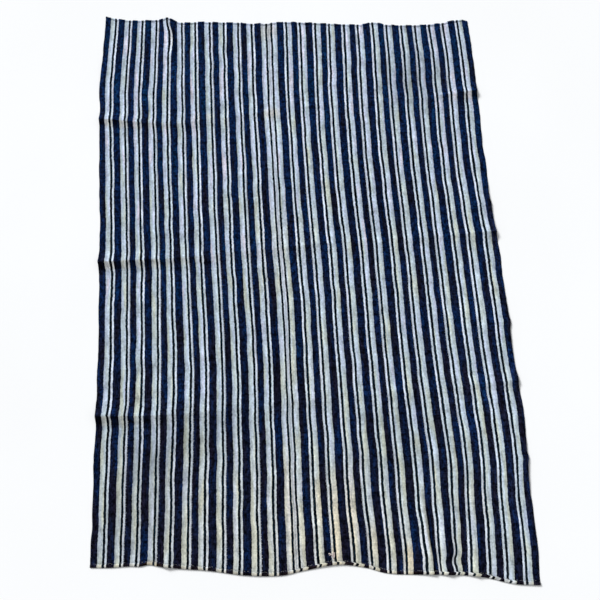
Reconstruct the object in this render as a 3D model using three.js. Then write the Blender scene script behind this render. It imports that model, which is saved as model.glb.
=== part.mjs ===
// A handwoven strip cloth, laid out face up on the floor.
// Thirteen narrow woven strips are sewn edge to edge, and both ends are finished with a rolled hem.
// Units are millimetres: X runs across the strips, Y along them, Z up from the floor.

import * as THREE from 'three';

// Driving sizes of the cloth
const STRIP_COUNT = 13;
const STRIP_WIDTH = 85;
const CLOTH_THICKNESS = 1.6;
const SEAM_GAP = 0.3;
const HALF_WIDTH = (STRIP_COUNT * STRIP_WIDTH) / 2;
const BOTTOM_HEM = { width: 8, thickness: 3.6 };
const TOP_HEM = { width: 6, thickness: 3.2 };

// Finish of the cotton: indigo and pale stripes seen together
const COTTON = { color: 0x66707f, roughness: 0.92, metalness: 0 };

// Fineness of the solids
const CELLS_ACROSS = 2;
const CELLS_ACROSS_TUCK = 8;
const CELLS_BETWEEN_FOLDS = 7;
const CREASE_STEPS = [7, 20, 46];
const HEM_STEPS = [0.2, 0.8, 1];
const HEM_RUN_OUT = 14;

// Side edges, from bottom to top: how far each stands outside the half width
const SIDE_EDGES = [
  { y: -830, left: -12, right: -6 },
  { y: -760, left: -12, right: 0 },
  { y: -690, left: -13, right: 2 },
  { y: -630, left: -14, right: 1 },
  { y: -500, left: -13, right: 9 },
  { y: -430, left: -13, right: 10.5 },
  { y: -330, left: -14, right: 9 },
  { y: -200, left: -13, right: 7 },
  { y: -90, left: -10, right: 6 },
  { y: 40, left: -5, right: 5 },
  { y: 130, left: -5, right: 2 },
  { y: 290, left: 1, right: -2 },
  { y: 420, left: 7, right: 0 },
  { y: 570, left: 10.5, right: 4 },
  { y: 680, left: 6, right: 4 },
  { y: 830, left: 1, right: 0 },
];

// End edges, counted across in strips from the left: the cloth lies skewed and its hems waver
const BOTTOM_EDGE = [
  { seam: 0, y: -745.5 },
  { seam: 0.6, y: -747.5 },
  { seam: 1.2, y: -746.5 },
  { seam: 1.5, y: -748 },
  { seam: 1.75, y: -745.5 },
  { seam: 2, y: -749 },
  { seam: 2.5, y: -755.5 },
  { seam: 3.5, y: -765 },
  { seam: 4.5, y: -779 },
  { seam: 5.6, y: -783.5 },
  { seam: 6.1, y: -777 },
  { seam: 7.2, y: -765.5 },
  { seam: 7.9, y: -775 },
  { seam: 8.5, y: -789.5 },
  { seam: 10, y: -798.6 },
  { seam: 11.3, y: -807 },
  { seam: 12.3, y: -827.5 },
  { seam: 13, y: -832.5 },
];
const TOP_EDGE = [
  { seam: 0, y: 832.5 },
  { seam: 0.7, y: 818 },
  { seam: 1.2, y: 814 },
  { seam: 2.2, y: 813 },
  { seam: 2.5, y: 814 },
  { seam: 2.75, y: 802 },
  { seam: 3.6, y: 798 },
  { seam: 4.9, y: 788.5 },
  { seam: 5.8, y: 779 },
  { seam: 6.2, y: 784 },
  { seam: 7.5, y: 776 },
  { seam: 8.8, y: 764 },
  { seam: 9.3, y: 762 },
  { seam: 9.6, y: 767 },
  { seam: 10.1, y: 754 },
  { seam: 12, y: 751 },
  { seam: 12.4, y: 758 },
  { seam: 12.8, y: 761 },
  { seam: 13, y: 755 },
];

// How far the selvedges of the two outer strips are drawn in
const SELVEDGE_DRAW = [
  { y: -830, left: 1, right: 0 },
  { y: -760, left: 1.5, right: 0 },
  { y: -694, left: 1.3, right: 1 },
  { y: -657, left: 2.2, right: 0 },
  { y: -619, left: 0.7, right: 1 },
  { y: -581, left: 0.5, right: 2.1 },
  { y: -532, left: 0.5, right: 3 },
  { y: -490, left: 0.5, right: 2 },
  { y: -428, left: 3, right: -0.8 },
  { y: -400, left: 4, right: -1.2 },
  { y: -353, left: 0.5, right: 2.3 },
  { y: -330, left: 0.6, right: 1.7 },
  { y: -298, left: 0.8, right: 3.1 },
  { y: -224, left: 1.8, right: 3.5 },
  { y: -165, left: 3, right: 0.5 },
  { y: -90, left: 0.8, right: 1 },
  { y: 0, left: 4, right: -0.5 },
  { y: 45, left: 3, right: 1 },
  { y: 64, left: 2.5, right: 2.6 },
  { y: 110, left: 1.3, right: 1.7 },
  { y: 160, left: 3.2, right: 2.5 },
  { y: 203, left: 1.3, right: 2 },
  { y: 290, left: 0.8, right: -3 },
  { y: 350, left: 1.3, right: 0 },
  { y: 431, left: 3.2, right: -2.3 },
  { y: 520, left: 3.6, right: 1 },
  { y: 570, left: 0.5, right: 0 },
  { y: 680, left: 1.5, right: 0 },
  { y: 830, left: 2, right: -0.8 },
];

// How far lines of thread wander sideways from even spacing, from bottom to top
const WANDER_SEAMS = [0.4, 2, 3, 4.6, 5.9, 6.1, 8, 10, 11, 12.6];
const SEAM_WANDER = [
  { y: -765, at: [0, -3.5, -3.5, -1, 2, 0.5, 8, 8.5, -4, 0.5] },
  { y: -716, at: [1.5, -3, -3.5, -1, 0, -2, 6, 6, -2, 0] },
  { y: -640, at: [2, -3, -3.5, -1, 0, -2.5, 2, 6, 3.5, 1] },
  { y: -564, at: [1, -3, -3, 0, -1, -4, -1.5, 4.5, 7, 1] },
  { y: -416, at: [2.5, 0, 1.5, -1.5, -3.5, -6, -5.5, -3.5, -0.5, -0.5] },
  { y: -260, at: [2.5, 0, 2, -0.5, -0.5, -6, -6, -6, -4.5, -3] },
  { y: -97, at: [3, 0, -2, -3, -1.5, -3, -5.5, -5, -4.5, -1] },
  { y: 20, at: [6.5, 2, -2.5, -3.5, -3, -6, -3.5, -4, -5, 0] },
  { y: 140, at: [2, -2, -5.5, -5.5, -4, -7, -6.5, -3, -2, -1] },
  { y: 350, at: [3, -1.5, -2.5, -1.5, -1, -4, -6.5, -2.5, -0.5, 0.5] },
  { y: 546, at: [2.5, -1, -2.5, -2.5, -5.5, -6.5, -7, -2.5, -0.5, 1] },
  { y: 701, at: [2.5, -1.5, -7.5, -6.5, -7, -8, -4, -1.5, -0.5, 0.5] },
  { y: 770, at: [2.5, -2.5, -10, -8, -7.5, -8.5, -3, 0, 0, 0.5] },
];

// Pressed creases from storage, right across the cloth: how far the flanks reach, and where each crest lies
// and how high it stands at the crease seams
const CREASE_SEAMS = [0, 2.5, 6.5, 11.5, 13];
const CREASES = {
  lower: { flank: 46, y: [-382, -386, -366, -348, -341], lift: [15, 5, 3, 3, 9] },
  middle: { flank: 40, y: [36, 38, 56, 66, 70], lift: [12, 6, 4, 5, 11] },
  upper: { flank: 36, y: [477, 455, 482, 500, 512], lift: [10, 5, 3, 4, 11] },
};

// Tucks that run in from an end along the strips: how far the left and the right flank reach, what share
// of its lift a tuck holds where it starts, and how far along it stands highest
const TUCKS = {
  topLeft: { from: [-357, 824], to: [-340, 645], lift: 13, left: 34, right: 13, hold: 0.6, peak: 0.55 },
  topMiddle: { from: [-78, 784], to: [-70, 728], lift: 5, left: 24, right: 24, hold: 0.8, peak: 0.2 },
  bottomLeft: { from: [-352, -760], to: [-338, -690], lift: 6, left: 30, right: 30, hold: 0.6, peak: 0.3 },
  besideBulge: { from: [292, -800], to: [277, -600], lift: 14, left: 50, right: 16, hold: 0.3, peak: 0.35 },
  bottomBulge: { from: [336, -812], to: [328, -600], lift: 13, left: 30, right: 28, hold: 0.3, peak: 0.35 },
  bottomRight: { from: [402, -818], to: [392, -680], lift: 7, left: 36, right: 36, hold: 0.6, peak: 0.3 },
};

// Low soft swells where the cloth doesn't lie quite flat
const SWELLS = [
  { x: 350, y: 668, lift: 7, across: 190, along: 130 },
  { x: -250, y: -384, lift: 6, across: 230, along: 150 },
  { x: 505, y: -190, lift: 6, across: 120, along: 150 },
  { x: 520, y: 160, lift: 5, across: 90, along: 110 },
  { x: 525, y: -540, lift: 6, across: 100, along: 110 },
  { x: -40, y: 300, lift: 4, across: 180, along: 130 },
  { x: 200, y: -120, lift: 4, across: 160, along: 140 },
  { x: -500, y: 640, lift: 6, across: 110, along: 130 },
  { x: 70, y: -700, lift: 5, across: 120, along: 110 },
  { x: -470, y: -620, lift: 4, across: 120, along: 120 },
];

// A smooth curve through the rows of a table
function curveThrough(positions, values, columns = 1) {
  return new THREE.CubicInterpolant(positions, values, columns, new Float64Array(columns));
}

function columnCurve(rows, position, value) {
  const curve = curveThrough(rows.map((row) => row[position]), rows.map((row) => row[value]));
  return (at) => curve.evaluate(at)[0];
}

function rowCurve(positions, values) {
  const curve = curveThrough(positions, values);
  return (at) => curve.evaluate(at)[0];
}

// Outline of the laid cloth
const leftOverhang = columnCurve(SIDE_EDGES, 'y', 'left');
const rightOverhang = columnCurve(SIDE_EDGES, 'y', 'right');
const leftDraw = columnCurve(SELVEDGE_DRAW, 'y', 'left');
const rightDraw = columnCurve(SELVEDGE_DRAW, 'y', 'right');
const bottomY = columnCurve(BOTTOM_EDGE, 'seam', 'y');
const topY = columnCurve(TOP_EDGE, 'seam', 'y');
const wanderAlong = curveThrough(
  SEAM_WANDER.map((row) => row.y),
  SEAM_WANDER.flatMap((row) => row.at),
  WANDER_SEAMS.length,
);

// Sideways wander of a line of thread, with the draw of the two outer selvedges
function wander(seam, y) {
  const seams = [0, ...WANDER_SEAMS, STRIP_COUNT];
  const strays = [leftDraw(y), ...wanderAlong.evaluate(y), -rightDraw(y)];
  const across = new THREE.LinearInterpolant(seams, strays, 1, [0]);
  return across.evaluate(seam)[0];
}

// Place across the floor of a line of thread, counted in strips from the left edge
function acrossX(seam, y) {
  const left = -HALF_WIDTH - leftOverhang(y);
  const right = HALF_WIDTH + rightOverhang(y);
  return THREE.MathUtils.lerp(left, right, seam / STRIP_COUNT) + wander(seam, y);
}

const creaseLines = Object.values(CREASES).map((crease) => ({
  flank: crease.flank,
  y: rowCurve(CREASE_SEAMS, crease.y),
  lift: rowCurve(CREASE_SEAMS, crease.lift),
}));

// Shapes of a pressed fold, with a crest and hollow flanks, and of a soft swell
function pressedFold(share) {
  return share < 1 ? (1 - share) ** 2 : 0;
}

function softSwell(share) {
  return share < 1 ? (1 - share ** 2) ** 2 : 0;
}

// Height of one tuck over a point of the floor
function tuckLift(tuck, x, y) {
  const start = new THREE.Vector2(...tuck.from);
  const run = new THREE.Vector2(...tuck.to).sub(start);
  const offset = new THREE.Vector2(x, y).sub(start);
  const along = offset.dot(run) / run.lengthSq();
  const aside = (offset.cross(run) / run.length()) * Math.sign(run.y);
  const flank = aside > 0 ? tuck.right : tuck.left;
  const rise = THREE.MathUtils.lerp(tuck.hold, 1, THREE.MathUtils.smoothstep(along, 0, tuck.peak));
  const fade = 1 - THREE.MathUtils.smoothstep(along, tuck.peak, 1);
  return tuck.lift * rise * fade * pressedFold(Math.abs(aside) / flank);
}

// Height of the cloth's underside over the floor, nothing where it lies flat
function underside(seam, x, y) {
  let height = 0;
  for (const crease of creaseLines) {
    height += crease.lift(seam) * pressedFold(Math.abs(y - crease.y(seam)) / crease.flank);
  }
  for (const tuck of Object.values(TUCKS)) {
    height += tuckLift(tuck, x, y);
  }
  for (const swell of SWELLS) {
    height += swell.lift * softSwell(Math.hypot((x - swell.x) / swell.across, (y - swell.y) / swell.along));
  }
  return height;
}

// Extra thickness of a rolled hem at a distance in from its edge
function hemRoll(hem, inset) {
  const share = (2 * inset) / hem.width - 1;
  return Math.abs(share) < 1 ? (hem.thickness - CLOTH_THICKNESS) * (1 - share ** 4) : 0;
}

// Lines right across the cloth that the rows of points follow: the two hems and the creases
function hemSteps(hem) {
  return [...HEM_STEPS.map((share) => share * hem.width), hem.width + HEM_RUN_OUT];
}

const COURSES = [
  { y: bottomY, before: [], after: hemSteps(BOTTOM_HEM) },
  ...creaseLines.map((crease) => ({ y: crease.y, before: CREASE_STEPS, after: CREASE_STEPS })),
  { y: topY, before: hemSteps(TOP_HEM), after: [] },
];

// Rows of points along a strip: close at the hems and creases, even between them
function rowsAlong(seam) {
  const rows = [];
  COURSES.forEach((course, index) => {
    const line = course.y(seam);
    rows.push(...course.before.map((step) => line - step).reverse(), line);
    rows.push(...course.after.map((step) => line + step));
    const next = COURSES[index + 1];
    if (next) {
      const start = rows.at(-1);
      const end = next.y(seam) - next.before.at(-1);
      for (let cell = 1; cell < CELLS_BETWEEN_FOLDS; cell += 1) {
        rows.push(THREE.MathUtils.lerp(start, end, cell / CELLS_BETWEEN_FOLDS));
      }
    }
  });
  return rows;
}

// A strip that a tuck runs into takes finer cells across
function cellsAcross(strip) {
  const left = strip * STRIP_WIDTH - HALF_WIDTH;
  const starts = Object.values(TUCKS).map((tuck) => tuck.from[0]);
  const tucked = starts.some((x) => x > left && x < left + STRIP_WIDTH);
  return tucked ? CELLS_ACROSS_TUCK : CELLS_ACROSS;
}

// One woven strip with its two hems: a thin slab bent to lie as the cloth does
function stripGeometry(strip) {
  const rowCount = rowsAlong(strip).length;
  const geometry = new THREE.BoxGeometry(1, 1, 1, cellsAcross(strip), rowCount - 1, 1);
  const position = geometry.attributes.position;
  const edge = SEAM_GAP / 2 / STRIP_WIDTH;
  for (let index = 0; index < position.count; index += 1) {
    const seam = strip + THREE.MathUtils.lerp(edge, 1 - edge, position.getX(index) + 0.5);
    const row = Math.round((position.getY(index) + 0.5) * (rowCount - 1));
    const y = rowsAlong(seam)[row];
    const x = acrossX(seam, y);
    const lowest = underside(seam, x, y);
    const roll = hemRoll(BOTTOM_HEM, y - bottomY(seam)) + hemRoll(TOP_HEM, topY(seam) - y);
    const onTop = position.getZ(index) > 0;
    position.setXYZ(index, x, y, onTop ? lowest + CLOTH_THICKNESS + roll : lowest);
  }
  geometry.computeVertexNormals();
  return geometry;
}

// The cloth: strips in order from the left edge
const cloth = new THREE.Group();
for (let strip = 0; strip < STRIP_COUNT; strip += 1) {
  const mesh = new THREE.Mesh(stripGeometry(strip), new THREE.MeshStandardMaterial(COTTON));
  mesh.name = `strip_${String(strip + 1).padStart(2, '0')}`;
  cloth.add(mesh);
}

export default cloth;
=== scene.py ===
"""A handwoven strip cloth laid out on a pale floor: fine woven strips, hand sewing and wear."""
import logging
import math
from dataclasses import dataclass
from enum import Enum
from typing import NamedTuple, Sequence, Union

import bpy
import numpy as np
from mathutils import Matrix, Vector


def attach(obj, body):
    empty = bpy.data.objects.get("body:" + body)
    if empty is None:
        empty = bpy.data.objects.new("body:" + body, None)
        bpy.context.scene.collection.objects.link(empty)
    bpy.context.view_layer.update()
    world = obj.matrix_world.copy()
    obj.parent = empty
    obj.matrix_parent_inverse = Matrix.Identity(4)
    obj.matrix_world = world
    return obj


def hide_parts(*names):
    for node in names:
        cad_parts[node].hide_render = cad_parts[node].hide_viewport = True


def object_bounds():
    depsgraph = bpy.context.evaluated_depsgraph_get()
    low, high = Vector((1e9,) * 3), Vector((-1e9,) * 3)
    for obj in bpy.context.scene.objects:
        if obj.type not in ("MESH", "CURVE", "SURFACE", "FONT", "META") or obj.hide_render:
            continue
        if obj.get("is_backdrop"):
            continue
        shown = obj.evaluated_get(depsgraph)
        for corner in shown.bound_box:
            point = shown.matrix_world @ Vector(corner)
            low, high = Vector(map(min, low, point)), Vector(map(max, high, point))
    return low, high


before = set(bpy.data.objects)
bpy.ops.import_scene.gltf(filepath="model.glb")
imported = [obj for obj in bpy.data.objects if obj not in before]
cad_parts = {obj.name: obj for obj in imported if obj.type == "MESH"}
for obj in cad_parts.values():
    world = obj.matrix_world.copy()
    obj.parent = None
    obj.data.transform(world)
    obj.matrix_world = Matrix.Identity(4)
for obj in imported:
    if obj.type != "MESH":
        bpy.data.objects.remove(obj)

CAD_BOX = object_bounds()
BODY = "root"
MM = 0.001
# Size of a patch of yarn from one strip to the next, so small that no two strips look alike
BETWEEN_STRIPS = 0.1

log = logging.getLogger("strip_cloth")
Socket = bpy.types.NodeSocket
Material = bpy.types.Material
Piece = bpy.types.Object
Value = Union[float, Sequence[float], Socket]
Colour = tuple[float, float, float]
Stops = Sequence[tuple[float, Sequence[float]]]


class Yarn(Enum):
    """The dyed yarns, each with its place among the red, green and blue of the stripe mask."""

    NAVY = (0.0, 0.0, 1.0)
    PALE = (1.0, 0.0, 0.0)
    WHITE = (0.0, 1.0, 0.0)
    BLACK = (0.0, 0.0, 0.0)


class Turn(Enum):
    """Which way round a strip is sewn in."""

    AS_WOVEN = "as woven"
    TURNED = "turned"


class End(Enum):
    """The two hemmed ends of the cloth."""

    BOTTOM = "bottom"
    TOP = "top"


class Stripe(NamedTuple):
    """One warp stripe: its yarn and its width in millimetres."""

    yarn: Yarn
    width: float


class SideRow(NamedTuple):
    """How far the two side edges stand out, or are drawn in, at one place along the cloth."""

    y: float
    left: float
    right: float


class SeamRow(NamedTuple):
    """A value at one place across the cloth, counted in strips from the left edge."""

    seam: float
    value: float


class WanderRow(NamedTuple):
    """How far the wandering seams stray sideways at one place along the cloth."""

    y: float
    at: tuple[float, ...]


class Crease(NamedTuple):
    """A pressed crease: its flanks' reach, and its place, lift and strength of painted shade in its lee at
    the crease seams.
    """

    flank: float
    y: tuple[float, ...]
    lift: tuple[float, ...]
    lee_shade: tuple[float, ...]


class Tuck(NamedTuple):
    """A fold that runs from one point to another, with its two flanks and how far its crest leans right."""

    start: tuple[float, float]
    end: tuple[float, float]
    lift: float
    left: float
    right: float
    hold: float
    peak: float
    lean: float

    def place(self, x: np.ndarray, y: np.ndarray) -> tuple[np.ndarray, np.ndarray]:
        """Where points of the floor lie by the tuck.

        Args:
            x: place across the floor.
            y: place along the cloth.

        Returns:
            How far along its run each point lies, from 0 to 1, and how far right of its crest.
        """
        run = np.subtract(self.end, self.start)
        across, along = x - self.start[0], y - self.start[1]
        aside = (across * run[1] - along * run[0]) / np.hypot(*run)
        return (across * run[0] + along * run[1]) / (run @ run), aside * np.sign(run[1])

    def fade(self, along: np.ndarray) -> np.ndarray:
        """Share of the tuck that is left past its peak."""
        return 1 - smooth_step((along - self.peak) / (1 - self.peak))

    def growth(self, along: np.ndarray) -> np.ndarray:
        """Share of the full fold along its run, nothing at both ends."""
        return smooth_step(along / self.peak) * self.fade(along)

    def profile(self, aside: np.ndarray, crest_round: float) -> np.ndarray:
        """Height across the fold, from 0 to 1, with its crest a little rounded."""
        flank = np.where(aside > 0, self.right, self.left)
        return pressed_fold((np.hypot(aside, crest_round) - crest_round) / flank)


class SoftSpot(NamedTuple):
    """A soft round spot: its middle, its two reaches and its strength, which may differ on dark yarns."""

    x: float
    y: float
    across: float
    along: float
    amount: float
    on_dark: float = 0.0

    def share(self, x: np.ndarray, y: np.ndarray) -> np.ndarray:
        """Share of the spot at points of the floor, from 0 to 1."""
        return soft_swell(np.hypot((x - self.x) / self.across, (y - self.y) / self.along))


class Loop(NamedTuple):
    """A loose loop of thread: its middle, its two half sizes, and where it starts and how far it turns."""

    x: float
    y: float
    across: float
    along: float
    start: float
    sweep: float


class Hem(NamedTuple):
    """A rolled hem: its width and full thickness."""

    width: float
    thickness: float


def table(kind: type, *rows: Sequence) -> tuple:
    """Rows of a table, each with the named columns of its kind."""
    return tuple(kind(*row) for row in rows)


STRIPES = table(
    Stripe,
    (Yarn.NAVY, 17.2), (Yarn.PALE, 12.0), (Yarn.BLACK, 6.4), (Yarn.WHITE, 5.1),
    (Yarn.NAVY, 20.3), (Yarn.PALE, 12.6), (Yarn.BLACK, 6.4), (Yarn.WHITE, 5.0),
)
STRIPE_STARTS = [float(start) for start in np.cumsum([0.0] + [stripe.width for stripe in STRIPES])]
STRIPE_SHARES = [start / STRIPE_STARTS[-1] for start in STRIPE_STARTS]

# How far the side edges stand out past the even width
SIDE_EDGES = table(
    SideRow,
    (-830, -12, -6), (-760, -12, 0), (-690, -13, 2), (-630, -14, 1), (-500, -13, 9), (-430, -13, 10.5),
    (-330, -14, 9), (-200, -13, 7), (-90, -10, 6), (40, -5, 5), (130, -5, 2), (290, 1, -2), (420, 7, 0),
    (570, 10.5, 4), (680, 6, 4), (830, 1, 0),
)

BOTTOM_EDGE = table(
    SeamRow,
    (0, -745.5), (0.6, -747.5), (1.2, -746.5), (1.5, -748), (1.75, -745.5), (2, -749), (2.5, -755.5),
    (3.5, -765), (4.5, -779), (5.6, -783.5), (6.1, -777), (7.2, -765.5), (7.9, -775), (8.5, -789.5),
    (10, -798.6), (11.3, -807), (12.3, -827.5), (13, -832.5),
)

TOP_EDGE = table(
    SeamRow,
    (0, 832.5), (0.7, 818), (1.2, 814), (2.2, 813), (2.5, 814), (2.75, 802), (3.6, 798), (4.9, 788.5),
    (5.8, 779), (6.2, 784), (7.5, 776), (8.8, 764), (9.3, 762), (9.6, 767), (10.1, 754), (12, 751),
    (12.4, 758), (12.8, 761), (13, 755),
)

# How far the two selvedges are drawn in
SELVEDGE_DRAW = table(
    SideRow,
    (-830, 1, 0), (-760, 1.5, 0), (-694, 1.3, 1), (-657, 2.2, 0), (-619, 0.7, 1), (-581, 0.5, 2.1),
    (-532, 0.5, 3), (-490, 0.5, 2), (-428, 3, -0.8), (-400, 4, -1.2), (-353, 0.5, 2.3),
    (-330, 0.6, 1.7), (-298, 0.8, 3.1), (-224, 1.8, 3.5), (-165, 3, 0.5), (-90, 0.8, 1), (0, 4, -0.5),
    (45, 3, 1), (64, 2.5, 2.6), (110, 1.3, 1.7), (160, 3.2, 2.5), (203, 1.3, 2), (290, 0.8, -3),
    (350, 1.3, 0), (431, 3.2, -2.3), (520, 3.6, 1), (570, 0.5, 0), (680, 1.5, 0), (830, 2, -0.8),
)

WANDER_SEAMS = (0.4, 2, 3, 4.6, 5.9, 6.1, 8, 10, 11, 12.6)
SEAM_WANDER = table(
    WanderRow,
    (-765, (0, -3.5, -3.5, -1, 2, 0.5, 8, 8.5, -4, 0.5)),
    (-716, (1.5, -3, -3.5, -1, 0, -2, 6, 6, -2, 0)), (-640, (2, -3, -3.5, -1, 0, -2.5, 2, 6, 3.5, 1)),
    (-564, (1, -3, -3, 0, -1, -4, -1.5, 4.5, 7, 1)),
    (-416, (2.5, 0, 1.5, -1.5, -3.5, -6, -5.5, -3.5, -0.5, -0.5)),
    (-260, (2.5, 0, 2, -0.5, -0.5, -6, -6, -6, -4.5, -3)),
    (-97, (3, 0, -2, -3, -1.5, -3, -5.5, -5, -4.5, -1)),
    (20, (6.5, 2, -2.5, -3.5, -3, -6, -3.5, -4, -5, 0)),
    (140, (2, -2, -5.5, -5.5, -4, -7, -6.5, -3, -2, -1)),
    (350, (3, -1.5, -2.5, -1.5, -1, -4, -6.5, -2.5, -0.5, 0.5)),
    (546, (2.5, -1, -2.5, -2.5, -5.5, -6.5, -7, -2.5, -0.5, 1)),
    (701, (2.5, -1.5, -7.5, -6.5, -7, -8, -4, -1.5, -0.5, 0.5)),
    (770, (2.5, -2.5, -10, -8, -7.5, -8.5, -3, 0, 0, 0.5)),
)

CREASE_SEAMS = (0, 2.5, 6.5, 11.5, 13)
CREASES = (
    Crease(46, (-382, -386, -366, -348, -341), (15, 5, 3, 3, 9), (0.9, 0.2, 0.05, 0.1, 0.15)),
    Crease(40, (36, 38, 56, 66, 70), (12, 6, 4, 5, 11), (1, 0.5, 0.1, 0.15, 0.15)),
    Crease(36, (477, 455, 482, 500, 512), (10, 5, 3, 4, 11), (1, 0.35, 0, 0.15, 1)),
)

TUCKS = (
    Tuck((-357, 824), (-340, 645), 13, 34, 13, 0.6, 0.55, 8),
    Tuck((-78, 784), (-70, 728), 5, 24, 24, 0.8, 0.2, 0),
    Tuck((-352, -760), (-338, -690), 6, 30, 30, 0.6, 0.3, 0),
    Tuck((292, -800), (277, -600), 14, 50, 16, 0.3, 0.35, 0),
    Tuck((336, -812), (328, -600), 13, 30, 28, 0.3, 0.35, 0),
    Tuck((402, -818), (392, -680), 7, 36, 36, 0.6, 0.3, 0),
)

# Low soft rises of the cloth, by their height
SWELLS = table(
    SoftSpot,
    (350, 668, 190, 130, 7), (-250, -384, 230, 150, 6), (505, -190, 120, 150, 6),
    (520, 160, 90, 110, 5), (525, -540, 100, 110, 6), (-40, 300, 180, 130, 4), (200, -120, 160, 140, 4),
    (-500, 640, 110, 130, 6), (70, -700, 120, 110, 5), (-470, -620, 120, 120, 4),
)

# Small pushes of the threads, by their shift to the right
NUDGES = table(
    SoftSpot,
    (-357, 802, 26, 56, -6), (280, -785, 36, 75, 5.5), (314, -740, 22, 70, -3.5),
    (349, -770, 40, 20, -4.5), (354, -740, 40, 24, 2), (556, 157, 50, 20, 1.5), (563, -186, 50, 20, 3),
    (561, -537, 50, 18, 3),
)

# How far the stripes are pulled right inside the rolled hem
HEM_TWISTS = table(
    SeamRow,
    (0, 0), (4.5, 0), (5.6, 1), (6.3, 5), (7.2, 6), (8, 8), (8.6, 1), (9.7, 1), (10.2, 5), (11.2, 8),
    (12.2, 8), (12.5, 1), (13, 0),
)

# Cream marks on the pale yarns, by their strength: stains, and in the last two broad rows along the bottom,
# painted warm light
STAINS_AND_WARM_LIGHT = table(
    SoftSpot,
    (30, -622, 24, 90, 0.45), (68, -660, 26, 150, 0.6), (108, -640, 26, 140, 0.55),
    (160, -715, 26, 70, 0.4), (243, -760, 26, 56, 0.75), (-50, -590, 20, 180, 0.3),
    (-52, 471, 46, 26, 0.5), (-54, 752, 50, 46, 0.4), (-250, 470, 60, 20, 0.35),
    (-388, -744, 34, 12, 0.9), (60, -738, 14, 30, 0.7), (420, -640, 40, 90, 0.25),
    (-40, -700, 90, 130, 0.12), (0, -300, 120, 200, 0.15), (-60, 60, 160, 220, 0.15),
    # Painted warm light along the bottom
    (-100, -680, 700, 330, 0.3), (200, -760, 500, 120, 0.15),
)

# Places where the light and the dark yarns are brighter or duller
PATCHES = table(
    SoftSpot,
    (-500, 542, 120, 160, 0.06, 0.3), (-343, 645, 120, 120, 0.05, 0.3), (-50, 428, 110, 160, 0.1, 0.0),
    (-273, 271, 140, 160, 0.07, 0.2), (111, 189, 90, 60, 0.08, 0.0), (369, 560, 150, 170, -0.26, 0.1),
    (390, 740, 180, 100, -0.12, 0.1), (-224, 527, 90, 90, -0.08, 0.1),
    (-388, -498, 90, 70, -0.22, -0.2), (-294, -435, 90, 90, -0.24, -0.2),
    (-199, -407, 70, 70, -0.2, -0.2), (-430, -570, 240, 330, -0.18, 0.0),
    (225, -460, 140, 140, -0.12, -0.15), (152, -540, 80, 60, -0.1, 0.0),
    (490, -102, 90, 160, 0.08, 0.2), (552, 70, 40, 130, 0.0, 0.6), (556, -340, 40, 140, 0.0, 0.5),
    (456, -387, 110, 160, 0.05, 0.35), (512, -605, 90, 160, 0.08, 0.4), (19, -333, 70, 90, 0.08, 0.0),
    (-525, -560, 40, 240, 0.12, -0.1), (210, 200, 160, 300, -0.03, -0.3),
    (-100, -250, 220, 260, 0.0, -0.25),
)

LOOPS = table(
    Loop,
    (-0.5, 0.5, 2.6, 3.4, -50, 230), (-2.6, 3.6, 2.6, 1.8, 10, 150), (6.0, -2.0, 1.2, 8.0, 70, 150),
    (7.0, 4.0, 1.6, 7.0, 210, 160), (8.6, -1.0, 1.2, 8.0, 60, 150),
)


class SmoothTable:
    """A smooth curve through the rows of a table, level past both ends."""

    def __init__(self, at: Sequence[float], values: Sequence) -> None:
        """Works out the slope at each row.

        Args:
            at: where the rows lie, in rising order.
            values: one value, or one row of values, for each place.
        """
        self.at = np.asarray(at, float)
        self.values = np.asarray(values, float)
        steps = np.diff(self.at).reshape((-1,) + (1,) * (self.values.ndim - 1))
        chords = np.diff(self.values, axis=0) / steps
        inner = (chords[:-1] + chords[1:]) / 2
        self.slopes = np.concatenate([chords[:1], inner, chords[-1:]])

    def __call__(self, place: np.ndarray) -> np.ndarray:
        """Values of the curve.

        Args:
            place: places to read, of any shape.

        Returns:
            The values there, with the table's own columns last.
        """
        place = np.clip(np.asarray(place, float), self.at[0], self.at[-1])
        row = np.clip(np.searchsorted(self.at, place, side="right") - 1, 0, len(self.at) - 2)
        span = self.at[row + 1] - self.at[row]
        share = (place - self.at[row]) / span
        shape = share.shape + (1,) * (self.values.ndim - 1)
        t, span = share.reshape(shape), span.reshape(shape)
        start, end = self.values[row], self.values[row + 1]
        leave, arrive = self.slopes[row] * span, self.slopes[row + 1] * span
        return (
            start * (1 + 2 * t) * (1 - t) ** 2
            + leave * t * (1 - t) ** 2
            + end * t * t * (3 - 2 * t)
            + arrive * t * t * (t - 1)
        )


def column_curve(rows: Sequence[NamedTuple], place: str, value: str) -> SmoothTable:
    """The smooth curve of one column of a table by another."""
    return SmoothTable([getattr(row, place) for row in rows], [getattr(row, value) for row in rows])


class SoftNoise:
    """Smooth seeded noise over a plane, from -1 to 1, one lattice step wide."""

    def __init__(self, seed: int, size: int = 512) -> None:
        """Draws the lattice."""
        self.lattice = np.random.default_rng(seed).uniform(-1.0, 1.0, (size, size))

    def __call__(self, x: np.ndarray, y: np.ndarray) -> np.ndarray:
        """Noise at points of the plane.

        Args:
            x: first coordinate, in lattice steps.
            y: second coordinate, in lattice steps.

        Returns:
            The noise at each point.
        """
        x, y = np.broadcast_arrays(np.asarray(x, float), np.asarray(y, float))
        column, row = np.floor(x).astype(int), np.floor(y).astype(int)
        u, v = x - column, y - row
        u, v = u ** 3 * (u * (6 * u - 15) + 10), v ** 3 * (v * (6 * v - 15) + 10)
        size = len(self.lattice)
        left, right = column % size, (column + 1) % size
        low, high = row % size, (row + 1) % size
        near = self.lattice[left, low] * (1 - u) + self.lattice[right, low] * u
        far = self.lattice[left, high] * (1 - u) + self.lattice[right, high] * u
        return near * (1 - v) + far * v


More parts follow.
